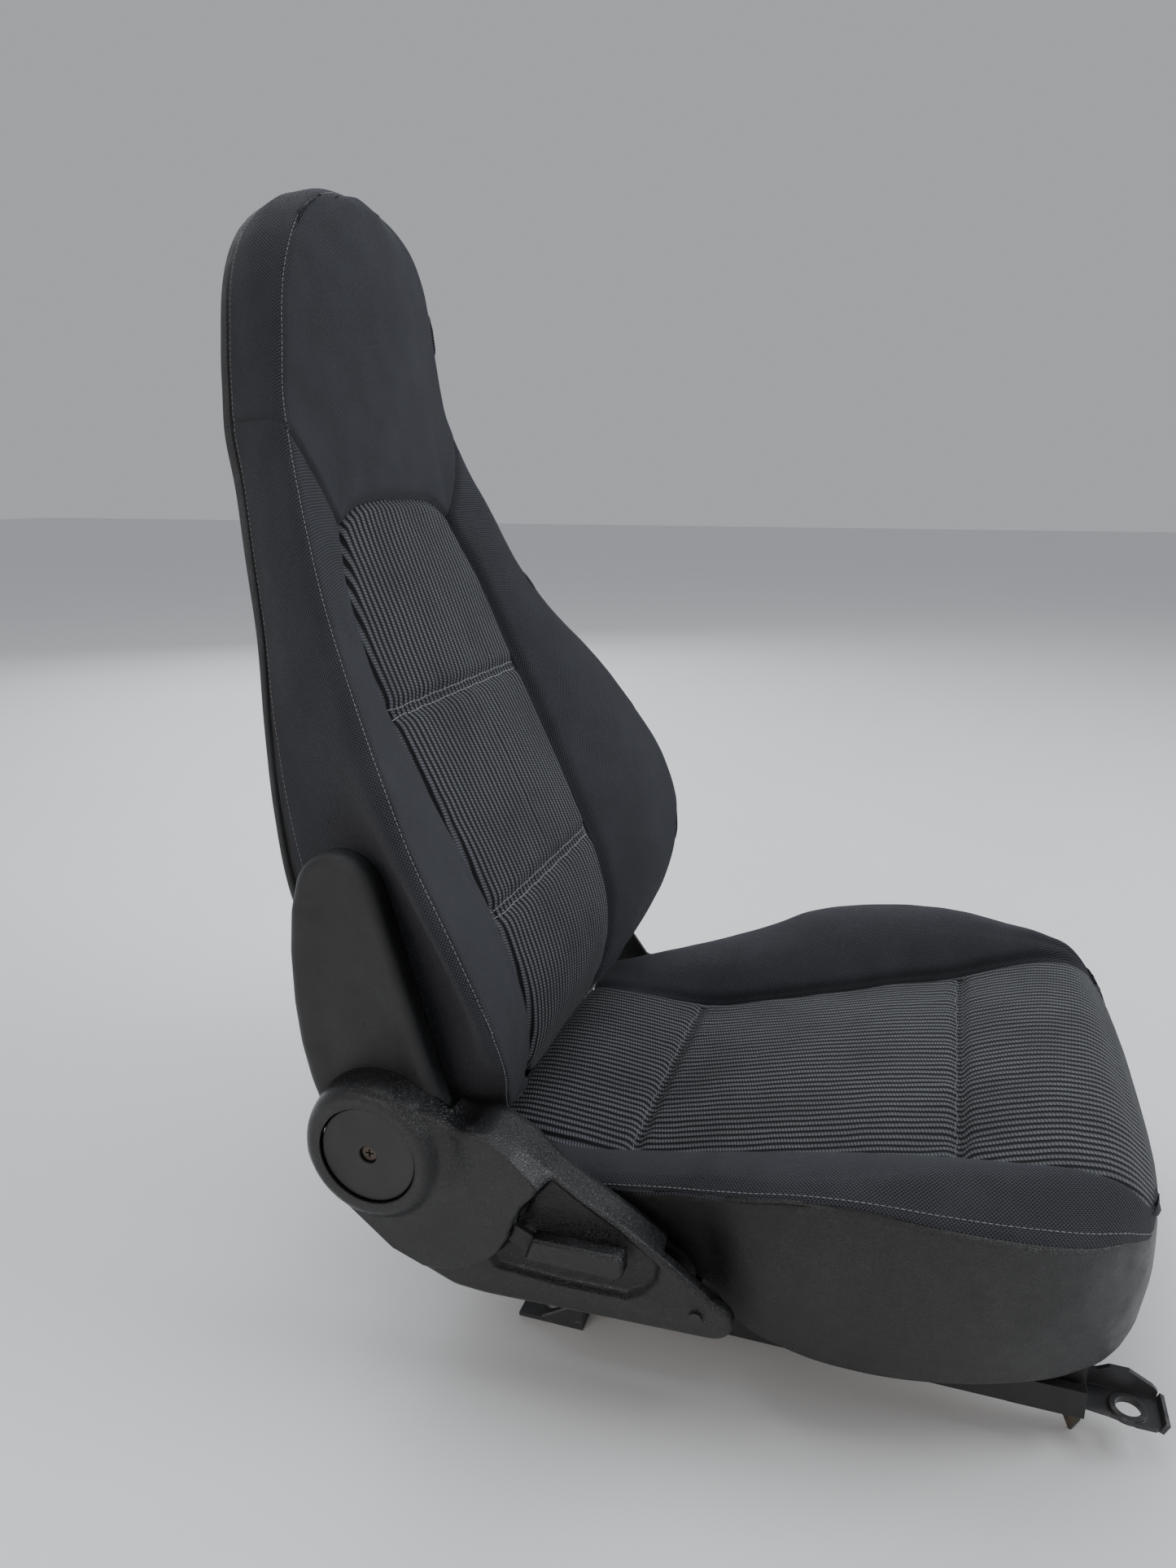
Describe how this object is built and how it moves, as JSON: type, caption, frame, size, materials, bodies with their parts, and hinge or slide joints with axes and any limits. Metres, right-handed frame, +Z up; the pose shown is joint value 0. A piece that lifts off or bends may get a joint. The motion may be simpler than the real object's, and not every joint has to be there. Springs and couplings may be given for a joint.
{
  "type": "reclining car seat",
  "caption": "High-back sports car seat with a fixed headrest, deep side bolsters, a side recliner lever and floor slide rails.",
  "frame": {"origin": "midway between the two rear floor bolt holes, on the floor plane", "axes": "+Z up, -Y the way the seat faces, -X the occupant's right, where the recliner is"},
  "size_m": [0.5572, 0.7129, 0.82],
  "materials": {
    "black_steel": "satin black paint, worn",
    "foot_steel": "worn dark coating",
    "bare_steel": "dull plated",
    "trim_plastic": "grained",
    "cage_plastic": "smooth",
    "foam": "open cell foam",
    "seat_cloth": "woven",
    "seat_vinyl": "fine grained"
  },
  "bodies": {
    "rails": {"lower_rail_right": "black_steel", "lower_rail_left": "black_steel", "front_foot_right": "foot_steel", "front_foot_left": "foot_steel", "rear_foot_right": "foot_steel", "rear_foot_left": "foot_steel", "locating_pins": "bare_steel", "foot_rivets": "bare_steel"},
    "roller_cages": {"rail_rollers": "bare_steel", "roller_cages": "cage_plastic"},
    "seat_base": {"upper_rail_right": "black_steel", "upper_rail_left": "black_steel", "side_plate_right": "black_steel", "side_plate_left": "black_steel", "rear_cross_tube": "black_steel", "cushion_pan": "black_steel", "pan_risers": "black_steel", "rail_bolts": "bare_steel", "hinge_pin_right": "bare_steel", "hinge_pin_left": "bare_steel", "cushion_foam": "foam", "cushion_cover": "seat_cloth", "cushion_skirt": "seat_vinyl", "recliner_cover": "trim_plastic", "pivot_cap": "trim_plastic", "pivot_cap_screw": "bare_steel", "cover_screws": "bare_steel", "inner_hinge_cover": "black_steel", "return_spring": "bare_steel", "lever_pin": "bare_steel", "pawl_pin": "bare_steel", "slide_bar_brackets": "black_steel"},
    "recliner_lever": {"recliner_lever": "black_steel", "lever_handle": "trim_plastic"},
    "recliner_pawl": {"recliner_pawl": "bare_steel"},
    "slide_bar": {"slide_bar": "black_steel", "latch_plates": "bare_steel"},
    "backrest": {"backrest_frame": "black_steel", "back_springs": "bare_steel", "upper_arm_right": "black_steel", "upper_arm_left": "black_steel", "arm_bolts": "bare_steel", "backrest_foam": "foam", "backrest_cover": "seat_cloth", "back_shell": "seat_vinyl", "arm_cover": "trim_plastic"}
  },
  "joints": [
    {"name": "seat_slide", "type": "slide", "parent": "rails", "child": "seat_base", "axis": [0, 1, 0], "range_m": [0, 0.18]},
    {"name": "roller_cage_slide", "type": "slide", "parent": "rails", "child": "roller_cages", "axis": [0, 1, 0], "range_m": [0, 0.09]},
    {"name": "recline", "type": "hinge", "parent": "seat_base", "child": "backrest", "pos_m": [0, 0.095, 0.172], "axis": [-1, 0, 0], "range_deg": [-12, 30]},
    {"name": "recliner_lever", "type": "hinge", "parent": "seat_base", "child": "recliner_lever", "pos_m": [-0.25, 0.022, 0.138], "axis": [-1, 0, 0], "range_deg": [0, 20], "stiffness_Nm_per_rad": 0.8, "springref_deg": -17.19},
    {"name": "recliner_pawl", "type": "hinge", "parent": "seat_base", "child": "recliner_pawl", "pos_m": [-0.235, 0.038, 0.14], "axis": [-1, 0, 0], "range_deg": [0, 10]},
    {"name": "slide_bar", "type": "hinge", "parent": "seat_base", "child": "slide_bar", "pos_m": [0, -0.232, 0.056], "axis": [-1, 0, 0], "range_deg": [0, 9], "stiffness_Nm_per_rad": 1.5, "springref_deg": -17.19}
  ],
  "couplings": [
    {"joint": "roller_cage_slide", "follows": "seat_slide", "ratio": 0.5},
    {"joint": "recliner_pawl", "follows": "recliner_lever", "ratio": 0.5}
  ]
}
